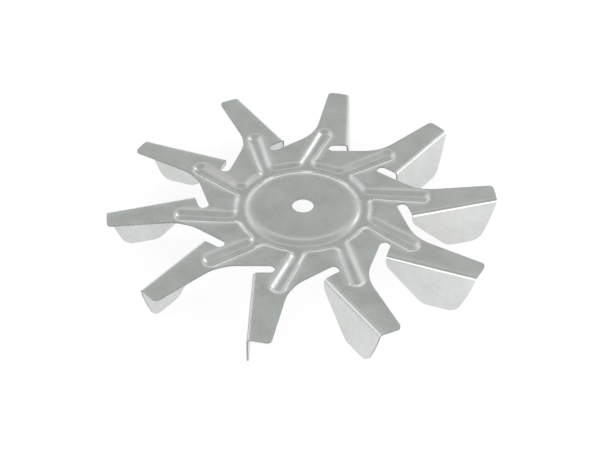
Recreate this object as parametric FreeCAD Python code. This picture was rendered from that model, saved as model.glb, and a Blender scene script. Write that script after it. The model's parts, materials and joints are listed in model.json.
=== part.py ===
# Oven fan wheel: one sheet, punched to a ten-bladed blank, pressed with a ring and ten ribs, and folded down.
# Millimetres. Z = 0 is the top face of the sheet, the bore is on the Z axis and the blades point outwards.
import FreeCAD, Part
import math
import os

Vec = FreeCAD.Vector

# Blank
blade_count = 10
tip_diameter = 150.0
sheet = 0.7
bore_diameter = 8.4

# Blade outline, in the frame of a blade that points along +Y
lead_angle = 11.9          # leading edge, turned clockwise from +Y
lead_offset = -4.67        # leading edge's distance from the axis, to the left
lead_tip_round = 1.8
root_round = 17.4          # gap between two blades, at its inner end
slot_width = 4.1           # relief slot under the inner end of the fold
slot_end_x = 12.2          # centre of the slot's round end
slot_end_y = 36.2

# Fold
fold_angle = 2.1           # fold line, turned clockwise from +Y
fold_face = 16.87          # outer face of the folded flange, from the axis
bend_outer = 1.6           # outer radius of the bend
bend_turn = 88.0           # degrees that the flange is folded down

# Flange, measured along the fold and down from the top face
flange_depth = 18.5
flange_step = 4.5          # depth of the straight inner edge
flange_slope = 43.5        # slanted edge, from the fold's direction
step_round = 4.6
slope_round = 6.5
foot_round = 5.4

# Pressed ring and ribs: sizes of the sharp outline on the top face, before its edge is broken
press_depth = 1.2
press_slope = 38.0         # degrees of the pressed walls
crest_break = 0.6          # taken off along each face at the edge of the ribs and of the ring's outside
hub_break = 1.5            # the same at the ring's inside, where the hub falls off more gently
ring_inner = 20.65
ring_outer = 26.6
rib_skew = 22.0            # rib's direction, turned clockwise from the blade's +Y
rib_offset = -8.9          # rib's centre line, sideways from the axis
rib_root_half = 2.78       # half width where the rib leaves the ring
rib_root_at = 26.0         # distance along the rib of that width
rib_spread = 0.8           # degrees that each side opens outwards
rib_reach = 48.6           # outer end, along the rib
rib_corner = 2.0           # corner between a rib and the ring, in plan

# Sizes that follow
tip_radius = tip_diameter / 2
pitch = 360.0 / blade_count
sheet_middle = sheet / 2
margin = 1.0               # how far cutting blocks run past the sheet
bend_sections = 7


def direction(angle):
    """Unit vector turned clockwise from +Y, and its normal on the clockwise side."""
    a = math.radians(angle)
    return Vec(math.sin(a), math.cos(a), 0), Vec(math.cos(a), -math.sin(a), 0)


def turned(point, angle):
    """Point turned clockwise about Z, seen from above."""
    a = math.radians(-angle)
    return Vec(
        point.x * math.cos(a) - point.y * math.sin(a),
        point.x * math.sin(a) + point.y * math.cos(a),
        point.z,
    )


def on_circle(along, across, offset, radius):
    """Point of a circle about the Z axis at a sideways offset."""
    return across * offset + along * math.sqrt(radius ** 2 - offset ** 2)


def crossing(p, along, q, other):
    """Point where two lines in plan meet."""
    denominator = along.x * other.y - along.y * other.x
    gap = q - p
    return p + along * ((gap.x * other.y - gap.y * other.x) / denominator)


def line(a, b):
    return Part.LineSegment(a, b).toShape()


def arc(a, centre, b):
    """The shorter arc from a to b about a centre."""
    middle = (a - centre) + (b - centre)
    middle.normalize()
    return Part.Arc(a, centre + middle * (a - centre).Length, b).toShape()


def corner(before, at, after, radius):
    """Start, centre and end of a round in the corner between two straight edges."""
    back = (before - at).normalize()
    on = (after - at).normalize()
    half = math.acos(back.dot(on)) / 2
    run = radius / math.tan(half)
    middle = (back + on).normalize()
    return at + back * run, at + middle * (radius / math.sin(half)), at + on * run


lead_along, lead_across = direction(lead_angle)
fold_along, fold_across = direction(fold_angle)
fold_start = fold_face - bend_outer
bend_length = math.radians(bend_turn) * (bend_outer - sheet_middle)
slot_radius = slot_width / 2
slot_top = slot_end_y + slot_radius


def edge_along_fold(flat):
    """Inner and outer end of the blade along the fold, at a distance across it in the flat blank."""
    inner = (slot_top + flat * fold_along.x) / fold_along.y
    outer = math.sqrt(tip_radius ** 2 - flat ** 2)
    return inner, outer


def blank_outline():
    """Closed outline of the blank without the folded flanges."""
    slot_centre = Vec(slot_end_x, slot_end_y, 0)
    slot_side = Vec(1, 0, 0)
    upper = slot_centre + Vec(0, slot_radius, 0)
    lower = slot_centre - Vec(0, slot_radius, 0)
    inner, outer = edge_along_fold(fold_start)
    fold_in = fold_across * fold_start + fold_along * inner
    fold_out = fold_across * fold_start + fold_along * outer

    # Root of the gap, between the slot's lower side and the next blade's leading edge
    next_along = turned(lead_along, pitch)
    next_foot = turned(lead_across * lead_offset, pitch)
    root_corner = crossing(lower, slot_side, next_foot, next_along)
    root = corner(lower, root_corner, next_foot + next_along * tip_radius, root_round)

    # Round at the tip of the leading edge
    round_offset = lead_offset + lead_tip_round
    round_centre = on_circle(lead_along, lead_across, round_offset, tip_radius - lead_tip_round)
    round_in = round_centre - lead_across * lead_tip_round
    round_out = round_centre * (tip_radius / round_centre.Length)

    edges = []
    for i in range(blade_count):
        at = i * pitch
        lead_in = turned(root[2], at - pitch)
        tip_in = turned(round_in, at)
        tip_out = turned(round_out, at)
        edges.append(line(lead_in, tip_in))
        edges.append(arc(tip_in, turned(round_centre, at), tip_out))
        edges.append(arc(tip_out, Vec(0, 0, 0), turned(fold_out, at)))
        edges.append(line(turned(fold_out, at), turned(fold_in, at)))
        edges.append(line(turned(fold_in, at), turned(upper, at)))
        slot_far = turned(slot_centre - slot_side * slot_radius, at)
        edges.append(Part.Arc(turned(upper, at), slot_far, turned(lower, at)).toShape())
        edges.append(line(turned(lower, at), turned(root[0], at)))
        edges.append(arc(turned(root[0], at), turned(root[1], at), turned(root[2], at)))
    return Part.Wire(edges)


def rib_side(side):
    """Foot of a rib's side line, its direction and its outward normal; side is -1 or 1."""
    spread = math.radians(rib_spread)
    along = Vec(side * math.sin(spread), math.cos(spread), 0)
    out = Vec(side * math.cos(spread), -math.sin(spread), 0)
    return Vec(rib_offset + side * rib_root_half, rib_root_at, 0), along, out


def press_outline(grow):
    """Outer outline of the pressed ring and ribs, grown sideways from the sharp outline of the top face."""
    spread = math.radians(rib_spread)
    root_half = rib_root_half * math.cos(spread) - rib_root_at * math.sin(spread)
    end_centre = Vec(rib_offset, (rib_reach - root_half) / (1 + math.sin(spread)), 0)
    end_radius = rib_reach - end_centre.y + grow
    end_top = end_centre + Vec(0, end_radius, 0)
    points = {}
    for side in (-1, 1):
        foot, along, out = rib_side(side)
        reach = out.dot(foot) + rib_corner
        centre = out * reach + along * math.sqrt((ring_outer + rib_corner) ** 2 - reach ** 2)
        on_ring = centre * ((ring_outer + grow) / centre.Length)
        on_side = centre - out * (rib_corner - grow)
        points[side] = (on_ring, centre, on_side, end_centre + out * end_radius)
    edges = []
    for i in range(blade_count):
        def place(p):
            return turned(p, rib_skew + i * pitch)
        left, right = points[-1], points[1]
        edges.append(arc(place(left[0]), place(left[1]), place(left[2])))
        edges.append(line(place(left[2]), place(left[3])))
        edges.append(Part.Arc(place(left[3]), place(end_top), place(right[3])).toShape())
        edges.append(line(place(right[3]), place(right[2])))
        edges.append(arc(place(right[2]), place(right[1]), place(right[0])))
        edges.append(arc(place(right[0]), Vec(0, 0, 0), turned(left[0], rib_skew + (i + 1) * pitch)))
    return Part.Wire(edges)


def raised(wire, z):
    moved = wire.copy()
    moved.translate(Vec(0, 0, z))
    return moved


def wall_steps(drop, edge_break):
    """Steps of the pressed wall on one face of the sheet, from the floor up, as (grow, height)."""
    slope = math.radians(press_slope)

    def grow(z):
        return z / math.tan(slope) + drop / math.sin(slope)

    floor = -press_depth - drop
    top = -drop
    if edge_break == 0:
        return [(grow(floor), floor), (grow(top), top)]
    below = top - edge_break * math.sin(slope)
    return [(grow(floor), floor), (grow(below), below), (grow(top) + edge_break, top)]


def break_below(edge_break):
    """Edge break of the underside that keeps the sheet's thickness below one on the top face."""
    half = math.radians(press_slope / 2)
    return edge_break - sheet * math.tan(half / 2) / math.cos(half)


def pressed_block(drop, outer_break, inner_break):
    """Solid below one face of the sheet; drop is how far that face lies below the top face."""
    base = -(press_depth + sheet + margin)
    block = Part.makeCylinder(tip_radius + margin, -drop - base, Vec(0, 0, base))
    outer_steps = wall_steps(drop, outer_break)
    groove = Part.makeLoft([raised(press_outline(grow), z) for grow, z in outer_steps], True, True)
    inner_steps = wall_steps(drop, inner_break)
    section = [Vec(ring_inner - grow, 0, z) for grow, z in inner_steps]
    section = [Vec(0, 0, section[0].z)] + section + [Vec(0, 0, section[-1].z)]
    hub = Part.Face(Part.makePolygon(section + section[:1])).revolve(Vec(0, 0, 0), Vec(0, 0, 1), 360)
    return block.cut(groove.cut(hub))


def hub_and_blades():
    """The flat and pressed part of the wheel, without its folds."""
    top = pressed_block(0, crest_break, hub_break)
    underside = pressed_block(sheet, 0, break_below(hub_break))
    base = -(press_depth + sheet + margin)
    plan = Part.Face(raised(blank_outline(), base)).extrude(Vec(0, 0, margin - base))
    bore = Part.makeCylinder(bore_diameter / 2, margin - base, Vec(0, 0, base))
    return top.cut(underside).common(plan).cut(bore)


def fold_point(across, along, down):
    return fold_across * across + fold_along * along - Vec(0, 0, down)


def bend():
    """Bend between the blade and its flange, lofted through sections of the sheet."""
    sections = []
    for i in range(bend_sections):
        turn = math.radians(bend_turn) * i / (bend_sections - 1)
        inner, outer = edge_along_fold(fold_start + turn * (bend_outer - sheet_middle))
        bend_inner = bend_outer - sheet
        corners = [(bend_outer, inner), (bend_outer, outer), (bend_inner, outer), (bend_inner, inner)]
        outline = []
        for radius, along in corners:
            across = fold_start + radius * math.sin(turn)
            outline.append(fold_point(across, along, bend_outer - radius * math.cos(turn)))
        sections.append(Part.makePolygon(outline + outline[:1]))
    return Part.makeLoft(sections, True, False)


def flange():
    """Flat flange below the bend: its outline is drawn in the flat blank and folded down with it."""
    turn = math.radians(bend_turn)
    flat_start = fold_start + bend_length
    bend_drop = bend_outer * (1 - math.cos(turn))

    def flat(down):
        return flat_start + (down - bend_drop) / math.sin(turn)

    def folded(along, across):
        """Point of the flat blank on the flange's outer face."""
        past = across - flat_start
        return fold_point(
            fold_start + bend_outer * math.sin(turn) + past * math.cos(turn),
            along,
            bend_drop + past * math.sin(turn),
        )

    def at(point):
        return folded(point.x, point.y)

    # The flat blank's frame here: X along the fold, Y across it
    start_in, start_out = edge_along_fold(flat_start)
    step_at = flat(flange_step)
    foot_at = flat(flange_depth)
    slope = math.radians(flange_slope)
    inner_top = Vec(start_in, flat_start, 0)
    step_corner = Vec(edge_along_fold(step_at)[0], step_at, 0)
    slope_run = (foot_at - step_at) / math.tan(slope)
    slope_corner = step_corner + Vec(slope_run, foot_at - step_at, 0)
    foot_far = Vec(tip_radius, foot_at, 0)
    step_arc = corner(inner_top, step_corner, slope_corner, step_round)
    slope_arc = corner(step_corner, slope_corner, foot_far, slope_round)
    foot_centre_across = foot_at - foot_round
    foot_centre_along = math.sqrt((tip_radius - foot_round) ** 2 - foot_centre_across ** 2)
    foot_centre = Vec(foot_centre_along, foot_centre_across, 0)
    foot_in = foot_centre + Vec(0, foot_round, 0)
    foot_out = foot_centre * (tip_radius / foot_centre.Length)
    outer_top = Vec(start_out, flat_start, 0)

    def folded_arc(a, centre, b):
        middle = ((a - centre) + (b - centre)).normalize()
        return Part.Arc(at(a), at(centre + middle * (a - centre).Length), at(b)).toShape()

    outline = Part.Wire([
        line(at(inner_top), at(step_arc[0])),
        folded_arc(*step_arc),
        line(at(step_arc[2]), at(slope_arc[0])),
        folded_arc(*slope_arc),
        line(at(slope_arc[2]), at(foot_in)),
        folded_arc(foot_in, foot_centre, foot_out),
        folded_arc(foot_out, Vec(0, 0, 0), outer_top),
        line(at(outer_top), at(inner_top)),
    ])
    inwards = (fold_across * math.sin(turn) + Vec(0, 0, math.cos(turn))) * -sheet
    return Part.Face(outline).extrude(inwards)


def fan_wheel():
    body = hub_and_blades()
    fold = [bend(), flange()]
    folds = []
    for i in range(blade_count):
        for shape in fold:
            copy = shape.copy()
            copy.rotate(Vec(0, 0, 0), Vec(0, 0, 1), -i * pitch)
            folds.append(copy)
    return body.multiFuse(folds)


wheel = fan_wheel()
print("solids", len(wheel.Solids), "valid", wheel.isValid(), "volume", round(wheel.Volume, 1))
print("box", wheel.BoundBox)

os.makedirs("parts", exist_ok=True)
wheel.exportStep("parts/fan_wheel.step")
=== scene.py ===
import json
import math

import bmesh
import bpy
from mathutils import Matrix, Vector
from mathutils.bvhtree import BVHTree
from mathutils.geometry import intersect_point_line
from mathutils.kdtree import KDTree

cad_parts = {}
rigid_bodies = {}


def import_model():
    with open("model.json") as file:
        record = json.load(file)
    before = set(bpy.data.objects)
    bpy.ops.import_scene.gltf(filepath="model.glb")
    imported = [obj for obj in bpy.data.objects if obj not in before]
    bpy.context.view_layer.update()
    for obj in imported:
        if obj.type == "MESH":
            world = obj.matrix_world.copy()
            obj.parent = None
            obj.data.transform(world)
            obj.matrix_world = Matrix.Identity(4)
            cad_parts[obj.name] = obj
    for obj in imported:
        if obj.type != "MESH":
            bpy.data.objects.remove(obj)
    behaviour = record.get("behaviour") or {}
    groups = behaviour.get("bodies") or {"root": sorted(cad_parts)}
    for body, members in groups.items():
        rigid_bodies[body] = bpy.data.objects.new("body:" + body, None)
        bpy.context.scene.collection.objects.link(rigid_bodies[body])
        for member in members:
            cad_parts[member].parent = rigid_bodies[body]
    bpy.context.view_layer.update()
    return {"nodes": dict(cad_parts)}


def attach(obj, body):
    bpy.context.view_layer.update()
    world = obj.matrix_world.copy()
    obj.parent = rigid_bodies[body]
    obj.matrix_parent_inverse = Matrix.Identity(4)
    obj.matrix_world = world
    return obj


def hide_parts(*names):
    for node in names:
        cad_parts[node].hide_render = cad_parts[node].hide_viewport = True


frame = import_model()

MM = 0.001
up = Vector((0, 0, 1))

# Camera, in degrees, pixels and millimetres
photo_width = 600
sensor_width = 36.0
focal_pixels = 1476.5
camera_elevation = 40.67
camera_azimuth = 0.10
camera_roll = 0.165
camera_distance = 566.7
aim_right = -1.122
aim_up = -7.599

# Sheet
sheet = 0.7 * MM
bend_drop = 1.6 * MM             # how far down the bend ends
floor_height = -18.53 * MM       # just under the flanges' lowest edges
smooth_angle = 35

# Reading the solid: a face is told by the upward part of its normal
weld_gap = 1e-6
flange_faces_up = 0.02           # less than a flange's outer face, which leans 2 degrees outwards
level_faces_up = 0.9999
blade_faces_up = 0.99
crest_faces_up = (0.90, 0.98)    # the broken edge between the top face and a pressed wall
hub_limit = 20.5 * MM            # crest lines nearer the axis than this are the hub's
merge_angle = 0.4                # faces this near to one plane become one
merge_angle_flat = 0.1

# Pressing: slope of the top face in degrees, by millimetres outside the solid's crest line
ring_depth = 1.2 * MM
rib_depth = 1.45 * MM
ring_slopes = (
    (1.4, 0), (-0.1, 7), (-0.5, 15), (-0.85, 24),
    (-1.25, 32), (-1.65, 32), (-2.1, 23), (-2.9, 0),
)
rib_slopes = (
    (3.2, 0), (1.3, 6), (-0.15, 12), (-0.75, 26),
    (-1.15, 38), (-1.75, 38), (-2.25, 24), (-2.9, 0),
)
hub_slopes = (
    (1.5, 0), (-0.6, 8), (-1.25, 16), (-1.95, 25),
    (-2.5, 30), (-3.0, 22), (-3.9, 0),
)
rib_begins = (28 * MM, 33 * MM)    # ring's slopes give way to the rib's between these radii
rib_ends = (46.5 * MM, 48.5 * MM)  # and come back between these
crest_samples = 8                  # places tried along each edge of the crest line
nearest_samples = 3

# Grid that the sheet is cut into: wide squares first, then fine ones in and near the pressing
press_field = 56 * MM            # half side of the square that the pressing lies in
wide_step = 4.0 * MM
fine_step = 0.43 * MM
fine_reach = 3.4 * MM
grid_shift = 0.37                # share of a step, to keep cuts off the wheel's own lines

# Fold: the blade sags a little just before its bend
blade_count = 10
fold_angle = 2.1
fold_start = 15.27 * MM          # the bend's first line, from the axis
fold_inner = 37.0 * MM           # its inner end, along the fold
fold_side = 6 * MM               # blade faces this near the bend are cut lengthwise
bend_width = 2 * MM              # the bend in plan, and a little more
sag_width = 2.4 * MM
sag_depth = 0.08 * MM
sag_cuts = 4

# Galvanised sheet: noises by scale and detail, tones by place on their ramp and colour,
# bumps by strength and height
grain = (520.0, 1.0)
clouds = (90.0, 2.0)
stains = (28.0, 1.0)
cloud_share = 0.6
dark_zinc = (0.36, (0.618, 0.628, 0.614))
light_zinc = (0.64, (0.676, 0.694, 0.685))
warm_zinc = (0.672, 0.664, 0.632)
stain_span = (0.5, 0.7)
stain_strength = (0.0, 0.5)
cloud_span = (0.3, 0.7)
zinc_roughness = (0.25, 0.31)
grain_bump = (0.1, 0.005 * MM)

# Cut edge: marks of the shears run across the sheet's thickness
shear_marks = (2500.0, 2.0)
shear_stretch = (1.0, 1.0, 0.15)
dark_cut = (0.35, (0.27, 0.275, 0.27))
light_cut = (0.7, (0.48, 0.485, 0.48))
cut_roughness = (0.45, 0.65)
shear_bump = (0.3, 0.02 * MM)
full_span = (0.0, 1.0)

# Studio walls: brightness by how near a direction is to the named one, from -1 to 1
horizon_levels = (
    (-1.0, 1.1), (0.0, 2.3), (0.15, 1.5), (0.3, 0.86),
    (0.45, 0.64), (0.6, 0.48), (1.0, 0.3),
)
behind_wheel = (-0.12, 0.99, 0.0)
horizon_shares = ((-1.0, 0.5), (0.7, 0.5), (0.9, 1.0), (1.0, 1.0))
dim_side = (0.0, 0.72, 0.69)
dim_levels = (
    (-1.0, (1.1, 1.1, 1.1)),
    (0.0, (0.58, 0.59, 0.58)),
    (0.6, (0.51, 0.52, 0.51)),
    (0.86, (0.56, 0.58, 0.56)),
    (0.945, (0.66, 0.68, 0.66)),
    (0.972, (0.62, 0.64, 0.62)),
    (0.99, (0.46, 0.48, 0.465)),
    (1.0, (0.44, 0.46, 0.445)),
)
left_side = (-0.8, 0.45, 0.4)
left_levels = ((0.0, 0.3), (0.7, 0.42), (0.79, 0.55), (0.9, 0.8), (0.95, 0.98), (1.0, 1.0))
right_side = (0.8, 0.45, 0.4)
right_levels = ((0.0, 0.3), (0.66, 0.42), (0.72, 0.56), (0.78, 0.62), (0.89, 0.78), (1.0, 0.95))

# Soft panels: name, degrees clockwise from +Y, degrees up, width, height, brightness
softbox_distance = 0.8
softboxes = (
    ("side_panel", 55, 30, 0.18, 0.16, 2.4),
    ("top_strip", 0, 58, 0.60, 0.07, 0.6),
    ("front_panel", 172, 18, 1.6, 0.45, 1.7),
    ("left_panel", 250, 26, 0.9, 0.55, 0.52),
    ("right_panel", 100, 18, 0.8, 0.3, 1.3),
)

# Floor: what it bounces, what shows of its shade, and its own glow
floor_size = 6.0
floor_bounce = 0.8
floor_shade = 0.35
floor_glow = 0.76


def select_only(obj):
    bpy.ops.object.select_all(action="DESELECT")
    obj.select_set(True)
    bpy.context.view_layer.objects.active = obj


def apply_modifier(obj, kind, **settings):
    select_only(obj)
    modifier = obj.modifiers.new(kind.lower(), kind)
    for name, value in settings.items():
        setattr(modifier, name, value)
    bpy.ops.object.modifier_apply(modifier=modifier.name)


def select_faces(wheel, wanted):
    """Selects the faces, in edit mode, that the given test picks."""
    mesh = bmesh.from_edit_mesh(wheel.data)
    for face in mesh.faces:
        face.select_set(wanted(face))
    bmesh.update_edit_mesh(wheel.data)


def top_skin():
    """Upper side of the solid's sheet, in edit mode, with its facets merged into whole faces."""
    wheel = bpy.data.objects.new("pressed_wheel", frame["nodes"]["fan_wheel"].data.copy())
    bpy.context.scene.collection.objects.link(wheel)
    wheel.data.materials.clear()
    select_only(wheel)
    bpy.ops.mesh.customdata_custom_splitnormals_clear()
    bpy.ops.object.mode_set(mode="EDIT")
    bpy.ops.mesh.select_mode(type="FACE")
    bpy.ops.mesh.select_all(action="SELECT")
    bpy.ops.mesh.remove_doubles(threshold=weld_gap)
    bpy.ops.mesh.select_all(action="DESELECT")
    select_faces(wheel, lambda face: face.normal.z < flange_faces_up)
    bpy.ops.mesh.delete(type="FACE")
    bpy.ops.mesh.select_all(action="SELECT")
    bpy.ops.mesh.dissolve_limited(angle_limit=math.radians(merge_angle))
    return wheel


def mark_crest(wheel):
    """Marks where the flat top face meets the pressing, and gives that line's edges."""
    bpy.ops.mesh.select_all(action="DESELECT")
    mesh = bmesh.from_edit_mesh(wheel.data)
    crest = []
    for edge in mesh.edges:
        if len(edge.link_faces) == 2:
            high, low = sorted((face.normal.z for face in edge.link_faces), reverse=True)
            broken = crest_faces_up[0] < low < crest_faces_up[1]
            on_top = all(abs(v.co.z) < weld_gap for v in edge.verts)
            if high > level_faces_up and broken and on_top:
                edge.select_set(True)
                crest.append([v.co.copy() for v in edge.verts])
    bmesh.update_edit_mesh(wheel.data)
    bpy.ops.mesh.mark_seam(clear=False)
    return crest


def lay_flat(wheel, crest):
    """Puts the pressed faces level with the top face, and gives a tree of them in plan."""
    bpy.ops.mesh.select_all(action="DESELECT")
    bpy.ops.mesh.select_mode(type="FACE")
    radii = [start.length for start, end in crest]
    ring_middle = 0.5 * (min(radii) + min(radius for radius in radii if radius > hub_limit))

    def off_middle(face):
        return abs(face.calc_center_median().xy.length - ring_middle), face.index

    mesh = bmesh.from_edit_mesh(wheel.data)
    min(mesh.faces, key=off_middle).select_set(True)
    bmesh.update_edit_mesh(wheel.data)
    bpy.ops.mesh.select_linked(delimit={"SEAM"})
    mesh = bmesh.from_edit_mesh(wheel.data)
    mesh.verts.index_update()
    points = [Vector((v.co.x, v.co.y, 0)) for v in mesh.verts]
    polygons = []
    for face in mesh.faces:
        if face.select:
            polygons.append([v.index for v in face.verts])
            for v in face.verts:
                v.co.z = 0
    bmesh.update_edit_mesh(wheel.data)
    bpy.ops.mesh.select_all(action="SELECT")
    bpy.ops.mesh.mark_seam(clear=True)
    bpy.ops.mesh.dissolve_limited(angle_limit=math.radians(merge_angle_flat))
    return BVHTree.FromPolygons(points, polygons)


def crest_distance(crest):
    """Function for the distance in plan from the outer crest line, and the hub crest's radius."""
    hub = [start.length for start, end in crest if start.length < hub_limit]
    samples = []
    for start, end in crest:
        if start.length > hub_limit:
            for i in range(crest_samples + 1):
                samples.append((start.lerp(end, i / crest_samples), start, end))
    tree = KDTree(len(samples))
    for i, (point, start, end) in enumerate(samples):
        tree.insert(point, i)
    tree.balance()

    def distance(plan):
        gaps = []
        for found in tree.find_n(plan, nearest_samples):
            start, end = samples[found[1]][1:]
            share = intersect_point_line(plan, start, end)[1]
            gaps.append((plan - start.lerp(end, min(max(share, 0), 1))).length)
        return min(gaps)
    return distance, max(hub)


def cut_grid(wheel, step):
    """Cuts all visible faces along a square grid."""
    last = round(press_field / step)
    for axis in (Vector((1, 0, 0)), Vector((0, 1, 0))):
        for i in range(-last, last + 1):
            bpy.ops.mesh.select_all(action="SELECT")
            bpy.ops.mesh.bisect(plane_co=axis * (i + grid_shift) * step, plane_no=axis)


def fold_frames():
    """Direction along each blade's fold, and the one across it towards the flange."""
    frames = []
    for i in range(blade_count):
        angle = math.radians(fold_angle + i * 360 / blade_count)
        along = Vector((math.sin(angle), math.cos(angle), 0))
        across = Vector((math.cos(angle), -math.sin(angle), 0))
        frames.append((along, across))
    return frames


def cut_beside_folds(wheel, folds):
    """Cuts each blade lengthwise in the band that sags before the bend."""
    for along, across in folds:
        def beside(face):
            centre = face.calc_center_median()
            near = fold_start - fold_side < centre.dot(across) < fold_start
            return near and centre.dot(along) > fold_inner and face.normal.z > blade_faces_up

        for i in range(1, sag_cuts + 1):
            select_faces(wheel, beside)
            place = fold_start - sag_width * i / sag_cuts
            bpy.ops.mesh.bisect(plane_co=across * place, plane_no=across)


def fold_sag(plan, folds):
    """How far the blade sags at a place in plan."""
    for along, across in folds:
        before = fold_start - plan.dot(across)
        if -bend_width < before < sag_width and plan.dot(along) > fold_inner:
            return sag_depth * (1 - max(before, 0) / sag_width) ** 2
    return 0.0


def share_between(value, ends):
    return min(max((value - ends[0]) / (ends[1] - ends[0]), 0), 1)


def share_fallen(outside, slopes):
    """Share of the full depth that the sheet has fallen at a distance outside the crest line."""
    stops = [(place * MM, math.tan(math.radians(angle))) for place, angle in slopes]
    fallen = 0.0
    whole = 0.0
    for (start, steep_at_start), (end, steep_at_end) in zip(stops, stops[1:]):
        run = start - end
        whole += run * (steep_at_start + steep_at_end) / 2
        done = min(max(start - outside, 0), run)
        steep_here = steep_at_start + (steep_at_end - steep_at_start) * done / run
        fallen += done * (steep_at_start + steep_here) / 2
    return fallen / whole


def pressed_wheel():
    """The wheel as pressed sheet: the solid's top skin, pressed, then given its thickness."""
    wheel = top_skin()
    crest = mark_crest(wheel)
    pressed = lay_flat(wheel, crest)
    distance, hub_radius = crest_distance(crest)
    folds = fold_frames()

    def in_pressing(place):
        return pressed.ray_cast(place + up * MM, -up)[0] is not None

    # Cut the flat sheet into squares, fine ones where it will be pressed
    def near_pressing(face):
        if face.hide:
            return False
        centre = face.calc_center_median()
        reach = fine_reach + max((v.co - centre).length for v in face.verts)
        near_hub = abs(centre.length - hub_radius) < reach
        return in_pressing(centre) or near_hub or distance(centre) < reach

    select_faces(wheel, lambda face: face.normal.z > level_faces_up)
    bpy.ops.mesh.hide(unselected=True)
    cut_grid(wheel, wide_step)
    select_faces(wheel, near_pressing)
    bpy.ops.mesh.hide(unselected=True)
    cut_grid(wheel, fine_step)
    bpy.ops.mesh.reveal(select=False)
    cut_beside_folds(wheel, folds)

    # Press it: each point of the sheet goes down by its distance from the crest line
    mesh = bmesh.from_edit_mesh(wheel.data)
    for v in mesh.verts:
        plan = Vector((v.co.x, v.co.y, 0))
        radius = plan.length
        outside = distance(plan)
        if in_pressing(plan) or radius < hub_radius:
            outside = -outside
        on_rib = share_between(radius, rib_begins) - share_between(radius, rib_ends)
        fallen = share_fallen(outside, ring_slopes) * (1 - on_rib)
        fallen += share_fallen(outside, rib_slopes) * on_rib
        fallen *= share_fallen(hub_radius - radius, hub_slopes)
        depth = ring_depth + (rib_depth - ring_depth) * share_between(radius, rib_begins)
        level = min(max(1 + v.co.z / bend_drop, 0), 1)
        v.co.z -= (depth * fallen + fold_sag(plan, folds)) * level
    bmesh.update_edit_mesh(wheel.data)
    bpy.ops.object.mode_set(mode="OBJECT")

    # Solidify gives the rim the second material
    wheel.data.materials.append(sheet_material())
    wheel.data.materials.append(cut_edge_material())
    apply_modifier(wheel, "SOLIDIFY", thickness=sheet, offset=-1.0, use_even_offset=True,
                   use_quality_normals=True, material_offset_rim=1)
    apply_modifier(wheel, "TRIANGULATE", min_vertices=4)
    select_only(wheel)
    bpy.ops.object.shade_smooth_by_angle(angle=math.radians(smooth_angle))
    apply_modifier(wheel, "WEIGHTED_NORMAL", keep_sharp=True, weight=100)
    return wheel


def metal(name):
    """A metal material, with its nodes, links, shader and the place on the piece."""
    material = bpy.data.materials.new(name)
    material.use_nodes = True
    nodes = material.node_tree.nodes
    shader = nodes["Principled BSDF"]
    shader.inputs["Metallic"].default_value = 1.0
    place = nodes.new("ShaderNodeTexCoord")
    return material, nodes, material.node_tree.links, shader, place.outputs["Object"]


def noise(nodes, links, place, pattern):
    scale, detail = pattern
    texture = nodes.new("ShaderNodeTexNoise")
    texture.inputs["Scale"].default_value = scale
    texture.inputs["Detail"].default_value = detail
    links.new(place, texture.inputs["Vector"])
    return texture.outputs["Fac"]


def two_tones(nodes, links, value, dark, light):
    """Colour ramp between two tones, each a place and a colour."""
    tone = nodes.new("ShaderNodeValToRGB")
    for element, (position, color) in zip(tone.color_ramp.elements, (dark, light)):
        element.position = position
        element.color = (*color, 1)
    links.new(value, tone.inputs["Fac"])
    return tone.outputs["Color"]


def ranged(nodes, links, value, span, result):
    """Turns a span of values into another."""
    change = nodes.new("ShaderNodeMapRange")
    change.inputs["From Min"].default_value, change.inputs["From Max"].default_value = span
    change.inputs["To Min"].default_value, change.inputs["To Max"].default_value = result
    links.new(value, change.inputs["Value"])
    return change.outputs["Result"]


def bumped(nodes, links, shader, pattern, size):
    strength, height = size
    bump = nodes.new("ShaderNodeBump")
    bump.inputs["Strength"].default_value = strength
    bump.inputs["Distance"].default_value = height
    links.new(pattern, bump.inputs["Height"])
    links.new(bump.outputs["Normal"], shader.inputs["Normal"])


def sheet_material():
    """Galvanised steel: fine grain in soft clouds, with a few warmer stains."""
    material, nodes, links, shader, place = metal("galvanised_sheet")
    fine = noise(nodes, links, place, grain)
    cloudy = noise(nodes, links, place, clouds)
    stained = noise(nodes, links, place, stains)
    mottle = nodes.new("ShaderNodeMix")
    mottle.inputs["Factor"].default_value = cloud_share
    links.new(fine, mottle.inputs["A"])
    links.new(cloudy, mottle.inputs["B"])
    tone = two_tones(nodes, links, mottle.outputs["Result"], dark_zinc, light_zinc)
    tint = nodes.new("ShaderNodeMix")
    tint.data_type = "RGBA"
    tint.inputs["B"].default_value = (*warm_zinc, 1)
    links.new(ranged(nodes, links, stained, stain_span, stain_strength), tint.inputs["Factor"])
    links.new(tone, tint.inputs["A"])
    links.new(tint.outputs["Result"], shader.inputs["Base Color"])
    rough = ranged(nodes, links, cloudy, cloud_span, zinc_roughness)
    links.new(rough, shader.inputs["Roughness"])
    bumped(nodes, links, shader, fine, grain_bump)
    return material


def cut_edge_material():
    """Bare sheared edge: duller and rougher than the faces, with marks across the thickness."""
    material, nodes, links, shader, place = metal("cut_edge")
    across = nodes.new("ShaderNodeMapping")
    across.inputs["Scale"].default_value = shear_stretch
    links.new(place, across.inputs["Vector"])
    marks = noise(nodes, links, across.outputs["Vector"], shear_marks)
    tone = two_tones(nodes, links, marks, dark_cut, light_cut)
    links.new(tone, shader.inputs["Base Color"])
    rough = ranged(nodes, links, marks, full_span, cut_roughness)
    links.new(rough, shader.inputs["Roughness"])
    bumped(nodes, links, shader, marks, shear_bump)
    return material


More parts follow.
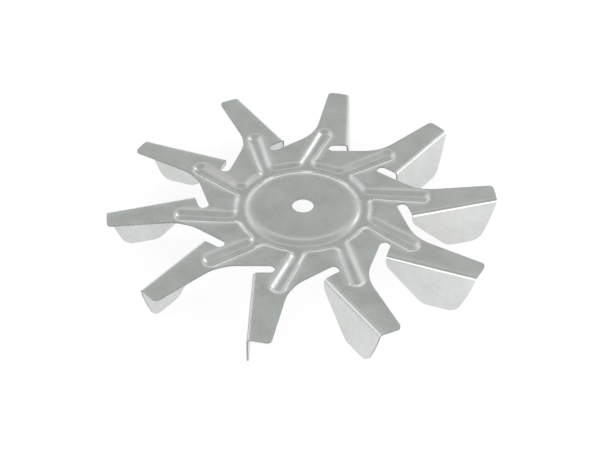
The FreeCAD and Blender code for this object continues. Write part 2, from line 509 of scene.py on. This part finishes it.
def lit_floor():
    """A floor that looks white to the camera and in the metal, and still takes the shadow."""
    bpy.ops.object.select_all(action="DESELECT")
    bpy.ops.mesh.primitive_plane_add(size=floor_size, location=(0, 0, floor_height))
    floor = bpy.context.object
    floor.name = "floor"
    material = bpy.data.materials.new("pale_floor")
    material.use_nodes = True
    nodes = material.node_tree.nodes
    links = material.node_tree.links
    nodes.clear()
    output = nodes.new("ShaderNodeOutputMaterial")
    path = nodes.new("ShaderNodeLightPath")
    seen = path.outputs["Is Camera Ray"]
    for ray in ("Is Glossy Ray", "Is Transmission Ray"):
        either = nodes.new("ShaderNodeMath")
        either.operation = "MAXIMUM"
        links.new(seen, either.inputs[0])
        links.new(path.outputs[ray], either.inputs[1])
        seen = either.outputs[0]
    bounce = nodes.new("ShaderNodeBsdfDiffuse")
    bounce.inputs["Color"].default_value = (floor_bounce, floor_bounce, floor_bounce, 1)
    shade = nodes.new("ShaderNodeBsdfDiffuse")
    shade.inputs["Color"].default_value = (floor_shade, floor_shade, floor_shade, 1)
    glow = nodes.new("ShaderNodeEmission")
    glow.inputs["Strength"].default_value = floor_glow
    both = nodes.new("ShaderNodeAddShader")
    links.new(shade.outputs[0], both.inputs[0])
    links.new(glow.outputs[0], both.inputs[1])
    mix = nodes.new("ShaderNodeMixShader")
    links.new(seen, mix.inputs["Fac"])
    links.new(bounce.outputs[0], mix.inputs[1])
    links.new(both.outputs[0], mix.inputs[2])
    links.new(mix.outputs[0], output.inputs["Surface"])
    floor.data.materials.append(material)


def studio():
    """Soft walls of light all round, white to the camera, and five soft panels."""
    world = bpy.data.worlds.new("studio")
    bpy.context.scene.world = world
    world.use_nodes = True
    nodes = world.node_tree.nodes
    links = world.node_tree.links
    nodes.clear()
    output = nodes.new("ShaderNodeOutputWorld")
    place = nodes.new("ShaderNodeTexCoord")

    def levels(direction, stops):
        """Brightness by how near a ray's direction is to the given one."""
        near = nodes.new("ShaderNodeVectorMath")
        near.operation = "DOT_PRODUCT"
        near.inputs[1].default_value = direction
        links.new(place.outputs["Generated"], near.inputs[0])
        spread = ranged(nodes, links, near.outputs["Value"], (-1.0, 1.0), full_span)
        ramp = nodes.new("ShaderNodeValToRGB")
        while len(ramp.color_ramp.elements) < len(stops):
            ramp.color_ramp.elements.new(0.5)
        for element, (position, level) in zip(ramp.color_ramp.elements, stops):
            element.position = (position + 1) / 2
            element.color = (*level, 1) if isinstance(level, tuple) else (level, level, level, 1)
        links.new(spread, ramp.inputs["Fac"])
        return ramp.outputs["Color"]

    def blended(kind, first, second):
        mix = nodes.new("ShaderNodeMix")
        mix.data_type = "RGBA"
        mix.blend_type = kind
        mix.inputs["Factor"].default_value = 1.0
        links.new(first, mix.inputs["A"])
        links.new(second, mix.inputs["B"])
        return mix.outputs["Result"]

    # The horizon is brightest behind the wheel
    light = blended("MULTIPLY", levels(up, horizon_levels), levels(behind_wheel, horizon_shares))
    for side, stops in ((dim_side, dim_levels), (left_side, left_levels),
                        (right_side, right_levels)):
        light = blended("LIGHTEN", light, levels(side, stops))
    sky = nodes.new("ShaderNodeBackground")
    links.new(light, sky.inputs["Color"])
    white = nodes.new("ShaderNodeBackground")
    white.inputs["Color"].default_value = (1, 1, 1, 1)
    path = nodes.new("ShaderNodeLightPath")
    mix = nodes.new("ShaderNodeMixShader")
    links.new(path.outputs["Is Camera Ray"], mix.inputs["Fac"])
    links.new(sky.outputs[0], mix.inputs[1])
    links.new(white.outputs[0], mix.inputs[2])
    links.new(mix.outputs[0], output.inputs["Surface"])

    for name, azimuth, elevation, width, height, level in softboxes:
        panel_data = bpy.data.lights.new(name, "AREA")
        panel_data.shape = "RECTANGLE"
        panel_data.size = width
        panel_data.size_y = height
        panel_data.energy = level * math.pi * width * height
        panel = bpy.data.objects.new(name, panel_data)
        bpy.context.scene.collection.objects.link(panel)
        turn = math.radians(azimuth)
        rise = math.radians(elevation)
        level_part = math.cos(rise)
        ahead = Vector((math.sin(turn) * level_part, math.cos(turn) * level_part, math.sin(rise)))
        panel.location = ahead * softbox_distance
        panel.rotation_euler = (-ahead).to_track_quat("-Z", "Y").to_euler()


def camera():
    data = bpy.data.cameras.new("camera")
    data.sensor_width = sensor_width
    data.lens = focal_pixels * sensor_width / photo_width
    view = bpy.data.objects.new("camera", data)
    bpy.context.scene.collection.objects.link(view)
    elevation = math.radians(camera_elevation)
    turn = Matrix.Rotation(math.radians(camera_azimuth), 3, "Z")
    right = turn @ Vector((1, 0, 0))
    ahead = turn @ Vector((0, math.cos(elevation), -math.sin(elevation)))
    above = right.cross(ahead)
    roll = math.radians(camera_roll)
    x_axis = right * math.cos(roll) + above * math.sin(roll)
    y_axis = above * math.cos(roll) - right * math.sin(roll)
    aim = (x_axis * aim_right + y_axis * aim_up) * MM
    axes = Matrix((x_axis, y_axis, -ahead)).transposed()
    view.matrix_world = Matrix.Translation(aim - ahead * camera_distance * MM) @ axes.to_4x4()
    bpy.context.scene.camera = view


wheel = pressed_wheel()
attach(wheel, "root")
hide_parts("fan_wheel")
lit_floor()
studio()
camera()
bpy.context.scene.view_settings.view_transform = "Standard"
